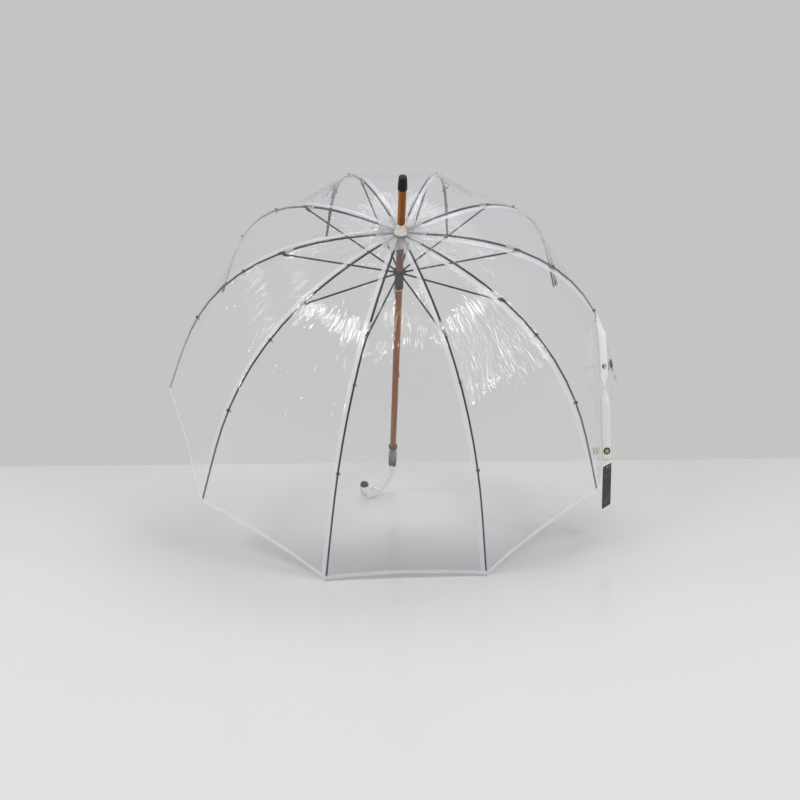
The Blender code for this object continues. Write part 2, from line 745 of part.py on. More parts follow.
def add_strap(umbrella):
    frames = strap_frames()
    origin = frames[0][0]
    bm = bmesh.new()
    rows = []
    for point, _, across, _ in frames:
        left = point - origin - across * STRAP_WIDTH / 2
        right = point - origin + across * STRAP_WIDTH / 2
        rows.append((bm.verts.new(left), bm.verts.new(right)))
    for above, below in zip(rows, rows[1:]):
        bm.faces.new((above[0], above[1], below[1], below[0]))
    bmesh.ops.recalc_face_normals(bm, faces=bm.faces)
    mesh = bpy.data.meshes.new("closing_strap")
    bm.to_mesh(mesh)
    bm.free()
    if mesh.polygons[0].normal.dot(frames[0][3]) < 0:
        mesh.flip_normals()
    strap = place("closing_strap", mesh, umbrella, WHITE_FILM, origin)
    thicken(strap, STRAP_THICKNESS)
    return strap, frames


def facing(along, out):
    """A turn that takes +Z to out and +Y to along."""
    return Matrix((along.cross(out), along, out)).transposed().to_euler()


def add_snaps(strap, frames):
    """The socket near the strap's free end and the stud nearer its seam."""
    origin = frames[0][0]
    socket = [(0, 0.0026), (0.0030, 0.0026), (0.0036, 0.0018), (0.0052, 0.0018), (0.0060, 0.0010)]
    socket += [(0.0060, 0), (0, 0)]
    stud = [(0, 0.0024), (0.0022, 0.0024), (0.0022, 0.0010), (0.0036, 0.0007), (0.0036, 0), (0, 0)]
    for name, profile, frame, back in (
        ("snap_socket", socket, frames[-1], SOCKET_FROM_END),
        ("snap_stud", stud, frames[STUD_FRAME], 0.0),
    ):
        point, along, _, out = frame
        seat = point - along * back + out * (STRAP_THICKNESS + GAP) - origin
        mesh = smooth(turned(name, profile, segments=16))
        place(name, mesh, strap, BRASS, seat, facing(along, out))


def add_tag(strap, frames, down):
    """A blank swing tag on a loop through the strap's free end. Its long side hangs plumb."""
    origin = frames[0][0]
    end, along, _, out = frames[-1]
    width, height, thick = TAG_SIZE
    hang = end + (along + out) * TAG_LOOP_CLEARANCE
    hole = hang + down * (TAG_LOOP_RADIUS * 2 - 0.0012)
    across = level_across(-down)
    side = Matrix.Rotation(TAG_TURN, 3, -down) @ across
    basis = Matrix((side, side.cross(down), -down)).transposed()

    top = TAG_HOLE_FROM_TOP
    card = block("swing_tag", (-width / 2, -thick / 2, top - height), (width / 2, thick / 2, top))
    punch = cylinder("hole", TAG_HOLE_RADIUS, 0.004, 10, axis="Y")
    card = combined("swing_tag", card, [punch], "DIFFERENCE")
    swing = pivot("tag_swing", strap, hang - origin)
    swing.rotation_euler = basis.to_euler()
    place("swing_tag", card, swing, CARD, (0, 0, -(hole - hang).length))
    loop = torus("tag_loop", TAG_LOOP_RADIUS, 0.0004, 16, 4)
    loop.transform(Matrix.Rotation(math.pi / 2, 4, "Y"))
    place("tag_loop", smooth(loop), swing, CLEAR_PLASTIC, (0, 0, -TAG_LOOP_RADIUS))


def level_across(up):
    """The level direction nearest to the umbrella's own X, when up is vertical."""
    return (Vector((1, 0, 0)) - up * up.x).normalized()


def add_label(umbrella):
    """A folded tape label stitched to the fourth rib's seam and lying on the film beside it."""
    corners = []
    for arc, share in ((0.527, 0.975), (0.527, 0.90), (0.546, 0.90), (0.546, 0.975)):
        corners.append(on_gore(STRAP_GORE, arc, share, STRAP_LIFT - 0.0008))
    mesh = bpy.data.meshes.new("label_tab")
    origin = corners[0]
    mesh.from_pydata([tuple(c - origin) for c in corners], [], [(0, 1, 2, 3)])
    if mesh.polygons[0].normal.dot(outward(rib_azimuth(STRAP_GORE + 1))) < 0:
        mesh.flip_normals()
    thicken(place("label_tab", mesh, umbrella, GREY_TAPE, origin), 0.0005)


# ---------------------------------------------------------------- standing on the floor


def world_points(names):
    bpy.context.view_layer.update()
    graph = bpy.context.evaluated_depsgraph_get()
    points = []
    for name in names:
        evaluated = bpy.data.objects[name].evaluated_get(graph)
        mesh = evaluated.to_mesh()
        points.append([evaluated.matrix_world @ v.co for v in mesh.vertices])
        evaluated.to_mesh_clear()
    return points


def floor_normal():
    """The upward normal of the plane under the first two rib tips and the crook."""
    clouds = world_points(["rib_tip_01", "rib_tip_02", "handle_crook"])
    up = VERTICAL.copy()
    for _ in range(20):
        first, second, third = (min(cloud, key=up.dot) for cloud in clouds)
        up = (second - first).cross(third - first).normalized()
        if up.z < 0:
            up.negate()
    return up


def stand(umbrella, up):
    """Turns the umbrella so that up is vertical, and puts the origin under the middle of its box."""
    across = level_across(up)
    turn = Matrix((across, up.cross(across), up)).to_4x4()
    umbrella.matrix_world = turn
    names = [o.name for o in PARTS.objects if o.type == "MESH"]
    points = [p for cloud in world_points(names) for p in cloud]
    low = Vector([min(p[i] for p in points) for i in range(3)])
    high = Vector([max(p[i] for p in points) for i in range(3)])
    middle = (low + high) / 2
    umbrella.matrix_world = Matrix.Translation((-middle.x, -middle.y, -low.z)) @ turn


def main():
    umbrella = pivot("umbrella", None)
    add_shaft(umbrella)
    add_ferrule_cap(umbrella)
    add_canopy_cap(umbrella)
    add_notch(umbrella)
    add_ribs(umbrella)
    add_runner(umbrella)
    add_catches(umbrella)
    add_handle(umbrella)
    add_film(umbrella)
    up = floor_normal()
    strap, frames = add_strap(umbrella)
    add_snaps(strap, frames)
    add_tag(strap, frames, -up)
    add_label(umbrella)
    stand(umbrella, up)


main()
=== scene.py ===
"""Looks of the clear dome umbrella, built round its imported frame.

The frame gives the joints, and they give the umbrella's own frame: the hub, the direction up the
shaft, and each rib's plane. The rib's line between its joints is the formula that the ribs were made
from. Film panels are centred on the ribs, so that each one can follow its rib when the umbrella closes.
"""

import json
import math

import bmesh
import bpy
import numpy as np
from mathutils import Matrix, Vector, noise


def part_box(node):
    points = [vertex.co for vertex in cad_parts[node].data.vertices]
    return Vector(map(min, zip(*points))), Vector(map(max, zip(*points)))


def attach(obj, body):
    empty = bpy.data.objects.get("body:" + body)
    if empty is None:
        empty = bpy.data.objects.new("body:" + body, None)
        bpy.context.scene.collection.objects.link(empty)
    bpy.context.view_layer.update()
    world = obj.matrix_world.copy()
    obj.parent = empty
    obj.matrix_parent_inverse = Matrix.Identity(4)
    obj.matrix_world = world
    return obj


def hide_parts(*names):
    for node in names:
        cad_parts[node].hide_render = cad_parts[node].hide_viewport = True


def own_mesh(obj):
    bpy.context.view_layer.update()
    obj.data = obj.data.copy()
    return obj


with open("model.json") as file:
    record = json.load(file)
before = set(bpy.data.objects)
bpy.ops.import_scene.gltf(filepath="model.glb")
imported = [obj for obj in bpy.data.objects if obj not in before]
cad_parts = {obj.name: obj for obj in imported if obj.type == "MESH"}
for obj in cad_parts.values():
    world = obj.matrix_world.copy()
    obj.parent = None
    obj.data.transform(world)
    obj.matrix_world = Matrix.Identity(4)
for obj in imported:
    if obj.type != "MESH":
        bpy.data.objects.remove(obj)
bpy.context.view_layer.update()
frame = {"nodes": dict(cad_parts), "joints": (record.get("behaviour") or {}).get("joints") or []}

JOINTS = {joint["name"]: joint for joint in frame["joints"]}
RIBS = 10
RIB_LENGTH = 0.5985
RIB_JOINT = 0.179
SLOPE_AT_HUB, SLOPE_AT_RIM = 0.058, 1.208
SLOPE_RISES_FROM, SLOPE_RISES_TO = -0.033, 0.522

FILM_LIFT = 0.0030
FILM_START = -0.0022
FILM_HEM = 0.5945
HEM_RISE = 0.007  # how much shorter the film is in the middle of a gore
FILM_SAG = 0.0035  # how far the middle of a gore lies inside the chord
TRIM_LIFT = 0.0003
SEAM_WIDTH = 0.0066
SEAM_BESIDE_RIB = 0.0019
SEAM_SLIP = 0.0080  # how much further the seams of the right-hand ribs have slid from them
HEM_WIDTH = 0.0085

ROSETTE_ARC = 0.0285
ROSETTE_SCALLOP = 0.0035
ROSETTE_LIFT = 0.0038

SLEEVE_ARCS = (RIB_JOINT - 0.020, RIB_JOINT - 0.0055)  # the metal sleeve on a rib, above its joint
SLEEVE_RADIUS, SLEEVE_END_RADIUS = 0.0026, 0.0022
TIE_ARCS = (0.254, 0.391)  # where thread ties the film to a rib
TIE_TURN_OFFSET = 0.0009  # each tie has two turns, this far to either side of its middle
TIE_RADIUS, TIE_WIRE = 0.0024, 0.0006

STRAP_GORE = 2
STRAP_TOP = (0.402, 0.985)
STRAP_END = (0.5877, 0.232)
STRAP_DRIFT = 0.7
STRAP_TURNS = ((0, 0), (0.1, 45), (0.375, 45), (0.46, -8), (0.56, 60), (1, 60))
STRAP_WIDTH = 0.016
STRAP_THICKNESS = 0.0006
STRAP_LIFT = 0.0046
STRAP_STAND_OFF = 0.0069
STRAP_RISE_PART = 0.1

LABEL_ARCS = (0.527, 0.546)
LABEL_SHARES = (0.975, 0.90)  # of the way from the third rib to the fourth
LABEL_LIFT, LABEL_CURL = 0.0040, 0.0022
LABEL_THICKNESS = 0.0005

CROOK_AZIMUTH = math.radians(-42.0)
CROOK_RADIUS = 0.0085
CROOK_BEND_RADIUS = 0.041
CROOK_STRAIGHT_END = -0.648
CROOK_END_LENGTH = 0.022
CROOK_TOP = -0.5768
SOCKET_RADIUS = 0.0075
CORE_SHOULDER = -0.628
CORE_BOTTOM = -0.642


# ---------------------------------------------------------------- the umbrella's frame


def numbered(name, index):
    return f"{name}_{index % RIBS + 1:02d}"


UP = -Vector(JOINTS["runner_slide"]["axis"]).normalized()
HINGES = [Vector(JOINTS[numbered("rib_hinge", i)]["pos_m"]) for i in range(RIBS)]
HUB = sum(HINGES, Vector()) / RIBS
HINGE_RADIUS = (HINGES[0] - HUB).length
OUT = [(hinge - HUB).normalized() for hinge in HINGES]
AROUND = [Vector(JOINTS[numbered("rib_hinge", i)]["axis"]) for i in range(RIBS)]

# The first rib's azimuth, from the umbrella's front and turning towards its right
FIRST_RIB = math.radians(-13.0)
FRONT = OUT[0] * math.cos(FIRST_RIB) - AROUND[0] * math.sin(FIRST_RIB)
RIGHT = OUT[0] * math.sin(FIRST_RIB) + AROUND[0] * math.cos(FIRST_RIB)
TO_ROW = Matrix.Translation(HUB) @ Matrix((RIGHT, -FRONT, UP)).transposed().to_4x4()


def rib_slope(arc):
    share = (arc - SLOPE_RISES_FROM) / (SLOPE_RISES_TO - SLOPE_RISES_FROM)
    share = min(max(share, 0.0), 1.0)
    return SLOPE_AT_HUB + (SLOPE_AT_RIM - SLOPE_AT_HUB) * (1 - math.cos(math.pi * share)) / 2


LINE_STEP = 0.001
LINE_ARCS = np.arange(-0.012, 0.64, LINE_STEP)
LINE_SLOPES = np.array([rib_slope(arc + LINE_STEP / 2) for arc in LINE_ARCS])
LINE_RADII = np.concatenate([[0], np.cumsum(np.cos(LINE_SLOPES[:-1]) * LINE_STEP)])
LINE_HEIGHTS = -np.concatenate([[0], np.cumsum(np.sin(LINE_SLOPES[:-1]) * LINE_STEP)])
LINE_RADII += HINGE_RADIUS - np.interp(0, LINE_ARCS, LINE_RADII)
LINE_HEIGHTS -= np.interp(0, LINE_ARCS, LINE_HEIGHTS)


def on_rib(index, arc, lift=0.0):
    slope = rib_slope(arc)
    radius = float(np.interp(arc, LINE_ARCS, LINE_RADII)) + lift * math.sin(slope)
    height = float(np.interp(arc, LINE_ARCS, LINE_HEIGHTS)) + lift * math.cos(slope)
    return HUB + OUT[index % RIBS] * radius + UP * height


def gore_normal(index, arc):
    """The outward normal of the flat chord between two ribs."""
    middle = (OUT[index % RIBS] + OUT[(index + 1) % RIBS]).normalized()
    slope = rib_slope(arc)
    across = math.cos(math.pi / RIBS)
    return (middle * math.sin(slope) + UP * math.cos(slope) * across).normalized()


def on_gore(index, arc, share, lift=FILM_LIFT):
    """A point of the film between two ribs, with its sag, the rise of its hem and its fine creases."""
    middle = 4 * share * (1 - share)
    tension = min(max(arc / RIB_LENGTH, 0.0), 1.0)
    arc = arc - HEM_RISE * middle * tension**3
    point = on_rib(index, arc, lift).lerp(on_rib(index + 1, arc, lift), share)
    depth = FILM_SAG * middle * math.sin(math.pi * min(tension * 0.9, 1.0))
    return point + gore_normal(index, arc) * (creases(index, arc, share, tension) * middle - depth)


def creases(index, arc, share, tension):
    """Shallow pulls that run down the film and fan out from the seams."""
    turn = index + share
    long_pull = noise.noise(Vector((turn * 5.0, arc * 4.0, 3.7)))
    short_pull = noise.noise(Vector((turn * 17.0, arc * 14.0 + share * 3.0, 9.1)))
    ripple = noise.noise(Vector((turn * 9.0, arc * 30.0, 21.3)))
    edge = tension**4
    return 0.0016 * long_pull * tension + 0.0007 * short_pull + 0.0006 * ripple * edge


def local(point):
    """A point of the umbrella's own frame, X to its right and Z up the shaft, in the row frame."""
    return TO_ROW @ Vector(point)


# ---------------------------------------------------------------- materials


def principled(name, color, roughness, metallic=0.0):
    made = bpy.data.materials.new(name)
    made.use_nodes = True
    shader = made.node_tree.nodes["Principled BSDF"]
    shader.inputs["Base Color"].default_value = (*color, 1.0)
    shader.inputs["Roughness"].default_value = roughness
    shader.inputs["Metallic"].default_value = metallic
    return made, made.node_tree, shader


def coordinates(tree, scale):
    where = tree.nodes.new("ShaderNodeTexCoord")
    mapping = tree.nodes.new("ShaderNodeMapping")
    mapping.inputs["Scale"].default_value = scale
    tree.links.new(where.outputs["Object"], mapping.inputs["Vector"])
    return mapping.outputs["Vector"]


def noise_value(tree, scale, detail=4.0, stretch=(1, 1, 1)):
    made = tree.nodes.new("ShaderNodeTexNoise")
    made.inputs["Scale"].default_value = scale
    made.inputs["Detail"].default_value = detail
    tree.links.new(coordinates(tree, stretch), made.inputs["Vector"])
    return made.outputs["Fac"]


def ramp(tree, value, stops):
    made = tree.nodes.new("ShaderNodeValToRGB")
    tree.links.new(value, made.inputs["Fac"])
    elements = made.color_ramp.elements
    while len(elements) < len(stops):
        elements.new(0.5)
    for element, (position, color) in zip(elements, stops):
        element.position = position
        element.color = (*color, 1.0)
    return made.outputs["Color"]


def mapped(tree, value, low, high):
    made = tree.nodes.new("ShaderNodeMapRange")
    made.inputs["To Min"].default_value = low
    made.inputs["To Max"].default_value = high
    tree.links.new(value, made.inputs["Value"])
    return made.outputs["Result"]


def bump(tree, shader, height, strength, distance, over=None):
    made = tree.nodes.new("ShaderNodeBump")
    made.inputs["Strength"].default_value = strength
    made.inputs["Distance"].default_value = distance
    tree.links.new(height, made.inputs["Height"])
    if over is not None:
        tree.links.new(over, made.inputs["Normal"])
    tree.links.new(made.outputs["Normal"], shader.inputs["Normal"])
    return made.outputs["Normal"]


def pulls(tree, across, down, detail, distortion=0.0):
    """Noise laid along the film's own directions: cycles in a gore's width, and cycles in a metre down it."""
    where = tree.nodes.new("ShaderNodeTexCoord")
    mapping = tree.nodes.new("ShaderNodeMapping")
    mapping.inputs["Scale"].default_value = (across, down, 1.0)
    made = tree.nodes.new("ShaderNodeTexNoise")
    made.inputs["Scale"].default_value = 1.0
    made.inputs["Detail"].default_value = detail
    made.inputs["Distortion"].default_value = distortion
    tree.links.new(where.outputs["UV"], mapping.inputs["Vector"])
    tree.links.new(mapping.outputs["Vector"], made.inputs["Vector"])
    return made.outputs["Fac"]


def film_material(name, color, thin, grazing, roughness):
    """Soft clear film: see-through face on, hazier at a grazing angle, with fine pulls in its surface."""
    made, tree, shader = principled(name, color, roughness)
    shader.inputs["IOR"].default_value = 1.5
    shader.inputs["Specular IOR Level"].default_value = 0.3
    facing = tree.nodes.new("ShaderNodeLayerWeight")
    facing.inputs["Blend"].default_value = 0.32
    cloud = noise_value(tree, 9.0, 3.0)
    total = tree.nodes.new("ShaderNodeMath")
    total.operation = "MULTIPLY_ADD"
    tree.links.new(mapped(tree, cloud, -0.03, 0.03), total.inputs[2])
    tree.links.new(mapped(tree, facing.outputs["Facing"], thin, grazing), total.inputs[0])
    total.inputs[1].default_value = 1.0
    tree.links.new(total.outputs["Value"], shader.inputs["Alpha"])
    uneven = mapped(tree, noise_value(tree, 30.0), roughness * 0.7, roughness * 1.5)
    tree.links.new(uneven, shader.inputs["Roughness"])
    wide = bump(tree, shader, pulls(tree, 7.0, 13.0, 2.0, 0.8), 1.0, 0.0034)
    fine = bump(tree, shader, pulls(tree, 34.0, 8.0, 2.0, 0.3), 1.0, 0.0011, over=wide)
    add_gloss(tree, shader, fine, roughness * 0.6, 1.45)
    return made


def add_gloss(tree, shader, normal, roughness, gain):
    """Mirror-like reflection on top of a see-through surface, from both of its faces."""
    gloss = tree.nodes.new("ShaderNodeBsdfGlossy")
    gloss.inputs["Color"].default_value = (0.97, 0.975, 1.0, 1.0)
    gloss.inputs["Roughness"].default_value = roughness
    tree.links.new(normal, gloss.inputs["Normal"])
    edge = tree.nodes.new("ShaderNodeFresnel")
    edge.inputs["IOR"].default_value = 1.5
    tree.links.new(normal, edge.inputs["Normal"])
    share = tree.nodes.new("ShaderNodeMath")
    share.operation = "MULTIPLY"
    share.use_clamp = True
    share.inputs[1].default_value = gain
    tree.links.new(edge.outputs["Fac"], share.inputs[0])
    mix = tree.nodes.new("ShaderNodeMixShader")
    tree.links.new(share.outputs["Value"], mix.inputs["Fac"])
    tree.links.new(shader.outputs["BSDF"], mix.inputs[1])
    tree.links.new(gloss.outputs["BSDF"], mix.inputs[2])
    tree.links.new(mix.outputs["Shader"], tree.nodes["Material Output"].inputs["Surface"])


def metal_material(name, color, roughness, scratch=300.0, metallic=1.0, specular=0.5):
    made, tree, shader = principled(name, color, roughness, metallic)
    shader.inputs["Specular IOR Level"].default_value = specular
    wear = noise_value(tree, scratch, 6.0, (1, 1, 4))
    tree.links.new(mapped(tree, wear, roughness * 0.7, roughness * 1.5), shader.inputs["Roughness"])
    darker = tuple(c * 0.78 for c in color)
    cloud = ramp(tree, noise_value(tree, 60.0), [(0.3, darker), (0.7, color)])
    tree.links.new(cloud, shader.inputs["Base Color"])
    bump(tree, shader, wear, 0.12, 0.0002)
    return made


def plastic_material(name, color, roughness, grain=900.0, strength=0.2, specular=0.5):
    made, tree, shader = principled(name, color, roughness)
    shader.inputs["Specular IOR Level"].default_value = specular
    value = noise_value(tree, grain, 3.0)
    uneven = mapped(tree, noise_value(tree, 50.0), roughness * 0.8, roughness * 1.3)
    tree.links.new(uneven, shader.inputs["Roughness"])
    bump(tree, shader, value, strength, 0.0001)
    return made


def wood_material():
    """Red-brown stained wood, its grain running along the shaft under a satin varnish."""
    made, tree, shader = principled("stained_wood", (0.3, 0.1, 0.04), 0.35)
    where = tree.nodes.new("ShaderNodeTexCoord")
    turn = tree.nodes.new("ShaderNodeMapping")
    turn.inputs["Rotation"].default_value = TO_ROW.to_3x3().transposed().to_euler()
    squeeze = tree.nodes.new("ShaderNodeMapping")
    squeeze.inputs["Scale"].default_value = (1, 1, 0.035)
    grain = tree.nodes.new("ShaderNodeTexNoise")
    grain.inputs["Scale"].default_value = 420.0
    grain.inputs["Detail"].default_value = 6.0
    grain.inputs["Distortion"].default_value = 0.4
    tree.links.new(where.outputs["Object"], turn.inputs["Vector"])
    tree.links.new(turn.outputs["Vector"], squeeze.inputs["Vector"])
    tree.links.new(squeeze.outputs["Vector"], grain.inputs["Vector"])
    stain = [(0.25, (0.11, 0.028, 0.001)), (0.5, (0.26, 0.074, 0.003)), (0.75, (0.42, 0.140, 0.010))]
    tree.links.new(ramp(tree, grain.outputs["Fac"], stain), shader.inputs["Base Color"])
    tree.links.new(mapped(tree, grain.outputs["Fac"], 0.25, 0.45), shader.inputs["Roughness"])
    shader.inputs["Specular IOR Level"].default_value = 0.25
    shader.inputs["Coat Weight"].default_value = 0.12
    shader.inputs["Coat Roughness"].default_value = 0.15
    bump(tree, shader, grain.outputs["Fac"], 0.25, 0.0002)
    return made


def clear_material():
    made, tree, shader = principled("clear_acrylic", (0.93, 0.95, 0.95), 0.03)
    shader.inputs["Transmission Weight"].default_value = 1.0
    shader.inputs["IOR"].default_value = 1.49
    tree.links.new(mapped(tree, noise_value(tree, 40.0), 0.02, 0.07), shader.inputs["Roughness"])
    bump(tree, shader, noise_value(tree, 90.0, 2.0), 0.08, 0.0003)
    return made


def snap_material():
    """Brass with painted shade: bright on the raised middle and lip, with near-black bands painted in the
    ring between them and at the rim.
    """
    made, tree, shader = principled("brass_painted_shade_bands", (0.5, 0.36, 0.16), 0.32, 1.0)
    where = tree.nodes.new("ShaderNodeTexCoord")
    mapping = tree.nodes.new("ShaderNodeMapping")
    mapping.inputs["Location"].default_value = (-1.0, 0.0, -1.0)
    mapping.inputs["Scale"].default_value = (2.0, 0.0, 2.0)
    reach = tree.nodes.new("ShaderNodeVectorMath")
    reach.operation = "LENGTH"
    tree.links.new(where.outputs["Generated"], mapping.inputs["Vector"])
    tree.links.new(mapping.outputs["Vector"], reach.inputs[0])
    # painted shade: the near-black colour painted in the ring between the raised middle and the lip, and at
    # the rim
    bright, painted_shade_colour = (0.66, 0.50, 0.24), (0.035, 0.026, 0.016)
    stops = [(0.24, bright), (0.34, painted_shade_colour), (0.46, bright), (0.60, bright), (0.70, painted_shade_colour)]
    tree.links.new(ramp(tree, reach.outputs["Value"], stops), shader.inputs["Base Color"])
    wear = noise_value(tree, 400.0)
    tree.links.new(mapped(tree, wear, 0.22, 0.45), shader.inputs["Roughness"])
    bump(tree, shader, wear, 0.15, 0.0002)
    return made


def tape_material(name, color):
    """Woven tape: fine ribs across and along."""
    made, tree, shader = principled(name, color, 0.75)
    weave = tree.nodes.new("ShaderNodeTexWave")
    weave.inputs["Scale"].default_value = 420.0
    weave.inputs["Distortion"].default_value = 0.6
    tree.links.new(coordinates(tree, (1, 1, 1)), weave.inputs["Vector"])
    darker = tuple(c * 0.6 for c in color)
    threads = ramp(tree, weave.outputs["Fac"], [(0.2, darker), (0.8, color)])
    tree.links.new(threads, shader.inputs["Base Color"])
    bump(tree, shader, weave.outputs["Fac"], 0.4, 0.0002)
    return made


FILM = film_material("clear_film", (0.80, 0.81, 0.85), 0.02, 0.20, 0.045)
TRIM = film_material("welded_film", (0.80, 0.80, 0.87), 0.50, 0.80, 0.2)
HEM = film_material("hem_film", (0.88, 0.88, 0.92), 0.55, 0.8, 0.2)
ROSETTE = film_material("rosette_film", (0.66, 0.66, 0.69), 0.42, 0.7, 0.2)
STRAP = plastic_material("white_film", (0.78, 0.78, 0.76), 0.32, 300.0, 0.25)
WOOD = wood_material()
BLACK_STEEL = metal_material("black_steel", (0.004, 0.004, 0.005), 0.40, metallic=0.0, specular=0.16)
BLACK_PLASTIC = plastic_material("black_plastic", (0.004, 0.004, 0.005), 0.38, specular=0.22)
NICKEL = metal_material("nickel", (0.80, 0.76, 0.70), 0.22)
BRASS = metal_material("brass", (0.72, 0.54, 0.26), 0.28)
SNAP = snap_material()
SMOKED = plastic_material("smoked_plastic", (0.045, 0.05, 0.055), 0.16, 500.0, 0.08)
CLEAR = clear_material()
CARD = plastic_material("card", (0.030, 0.027, 0.027), 0.5, 700.0, 0.4, specular=0.3)
CARD_BAND = plastic_material("card_band", (0.075, 0.077, 0.083), 0.5, 700.0, 0.4)
TAPE = tape_material("grey_tape", (0.10, 0.105, 0.11))


# ---------------------------------------------------------------- meshes


def add_mesh(name, vertices, faces, finish, body=None, slot=None, smooth=True, uvs=None):
    mesh = bpy.data.meshes.new(name)
    mesh.from_pydata([tuple(v) for v in vertices], [], faces)
    mesh.update()
    if uvs:
        layer = mesh.uv_layers.new(name="film")
        for loop in mesh.loops:
            layer.data[loop.index].uv = uvs[loop.vertex_index]
    if smooth:
        mesh.shade_smooth()
    mesh.materials.append(finish)
    made = bpy.data.objects.new(name, mesh)
    bpy.context.scene.collection.objects.link(made)
    if body:
        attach(made, body)
    return made


def grid(rows):
    """Vertices and faces of a sheet from rows of points."""
    width = len(rows[0])
    vertices = [point for row in rows for point in row]
    faces = []
    for r in range(len(rows) - 1):
        for c in range(width - 1):
            first = r * width + c
            faces.append((first, first + width, first + width + 1, first + 1))
    return vertices, faces


def merged(parts):
    """One list of vertices and faces from several."""
    vertices, faces = [], []
    for some, their in parts:
        base = len(vertices)
        vertices += list(some)
        faces += [tuple(i + base for i in face) for face in their]
    return vertices, faces


def tube(points, radius, sides=12, caps=True):
    """A round tube through points. radius is one number, or one for each point."""
    radii = radius if hasattr(radius, "__len__") else [radius] * len(points)
    points = [Vector(p) for p in points]
    vertices, faces = [], []
    normal = None
    for i, point in enumerate(points):
        along = (points[min(i + 1, len(points) - 1)] - points[max(i - 1, 0)]).normalized()
        if normal is None:
            normal = along.orthogonal().normalized()
        normal = (normal - along * normal.dot(along)).normalized()
        side = along.cross(normal)
        for k in range(sides):
            angle = 2 * math.pi * k / sides
            vertices.append(point + (normal * math.cos(angle) + side * math.sin(angle)) * radii[i])
    for i in range(len(points) - 1):
        for k in range(sides):
            a, b = i * sides + k, i * sides + (k + 1) % sides
            faces.append((a, b, b + sides, a + sides))
    if caps:
        faces.append(tuple(reversed(range(sides))))
        last = (len(points) - 1) * sides
        faces.append(tuple(last + k for k in range(sides)))
    return vertices, faces


def lathe(profile, sides=64):
    """A closed profile of (radius, height) turned about the shaft. Points on the axis share a vertex."""
    vertices, rings = [], []
    for radius, height in profile:
        if radius < 1e-6:
            rings.append([len(vertices)] * sides)
            vertices.append(local((0, 0, height)))
            continue
        rings.append(list(range(len(vertices), len(vertices) + sides)))
        for k in range(sides):
            angle = 2 * math.pi * k / sides
            vertices.append(local((radius * math.cos(angle), radius * math.sin(angle), height)))
    closed = profile[0][0] > 1e-6
    faces = []
    count = len(rings)
    for r in range(count if closed else count - 1):
        above, below = rings[r], rings[(r + 1) % count]
        for k in range(sides):
            j = (k + 1) % sides
            corners = [above[k], below[k], below[j], above[j]]
            unique = list(dict.fromkeys(corners))
            if len(unique) > 2:
                faces.append(tuple(unique))
    return vertices, faces


def arc_points(centre, radius, start, end, count=6):
    """Points of a rounded corner in a profile, with angles in degrees."""
    points = []
    for k in range(count):
        angle = math.radians(start + (end - start) * k / (count - 1))
        points.append((centre[0] + radius * math.cos(angle), centre[1] + radius * math.sin(angle)))
    return points


def sharpen(obj, degrees=40):
    obj.data.set_sharp_from_angle(angle=math.radians(degrees))


def thicken(obj, thickness):
    made = obj.modifiers.new("thickness", "SOLIDIFY")
    made.thickness = thickness
    made.offset = 0.0


# ---------------------------------------------------------------- film


def spread(start, end, count):
    return [start + (end - start) * k / (count - 1) for k in range(count)]


PANEL_SHARES = spread(-0.5, 0.5, 21)


def panel_point(index, arc, share, lift):
    """A point beside a rib: a share below 0 is in the gore before it."""
    if share < 0:
        return on_gore(index - 1, arc, 1 + share, lift)
    return on_gore(index, arc, share, lift)


def strip_shares(index, arc, count=5):
    """Shares that span the welded strip, which lies beside the rib."""
    gap = (on_rib(index, arc) - on_rib(index + 1, arc)).length
    beside = SEAM_BESIDE_RIB + SEAM_SLIP * max(OUT[index].dot(RIGHT), 0.0) ** 2
    return spread(-(beside + SEAM_WIDTH) / gap, -beside / gap, count)


def film_grid(index, arcs, shares_at, lift):
    """Vertices, faces and film coordinates of a sheet that lies on the film beside a rib."""
    rows, uvs = [], []
    for arc in arcs:
        shares = shares_at(arc)
        rows.append([panel_point(index, arc, share, lift) for share in shares])
        uvs += [(index + share, arc) for share in shares]
    return *grid(rows), uvs


def add_film_sheet(name, shape, finish, body, slot):
    vertices, faces, uvs = shape
    return add_mesh(name, vertices, faces, finish, body, slot, uvs=uvs)


def seam(index, start, end, count):
    arcs = spread(start, end, count)
    return film_grid(index, arcs, lambda arc: strip_shares(index, arc), FILM_LIFT + TRIM_LIFT)


def hem_band(index):
    arcs = spread(FILM_HEM - HEM_WIDTH, FILM_HEM - 0.0002, 4)
    return film_grid(index, arcs, lambda arc: PANEL_SHARES, FILM_LIFT + 1.5 * TRIM_LIFT)


def collapse(piece):
    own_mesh(piece)


def add_film():
    for index in range(RIBS):
        upper_body, lower_body = numbered("upper", index), numbered("lower", index)
        for part, body, start, end, rows in (
            ("upper", upper_body, FILM_START, RIB_JOINT, 22),
            ("lower", lower_body, RIB_JOINT, FILM_HEM, 54),
        ):
            shape = film_grid(index, spread(start, end, rows), lambda arc: PANEL_SHARES, FILM_LIFT)
            panel = add_film_sheet(numbered("film_" + part, index), shape, FILM, body, "clear_film")
            if part == "upper":
                trim_shape = seam(index, 0.03, end, 16)
            else:
                trim_shape = seam(index, start, end - HEM_WIDTH, 40)
            trim = add_film_sheet(numbered("seam_" + part, index), trim_shape, TRIM, body, "clear_film")
            if part == "lower":
                hem = add_film_sheet(numbered("hem_band", index), hem_band(index), HEM, body, "clear_film")
                collapse(hem)
            left, right = (panel_point(index, end, share, FILM_LIFT) for share in (-0.5, 0.5))
            collapse(panel)
            if index == 0 and part == "upper":
                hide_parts("canopy")


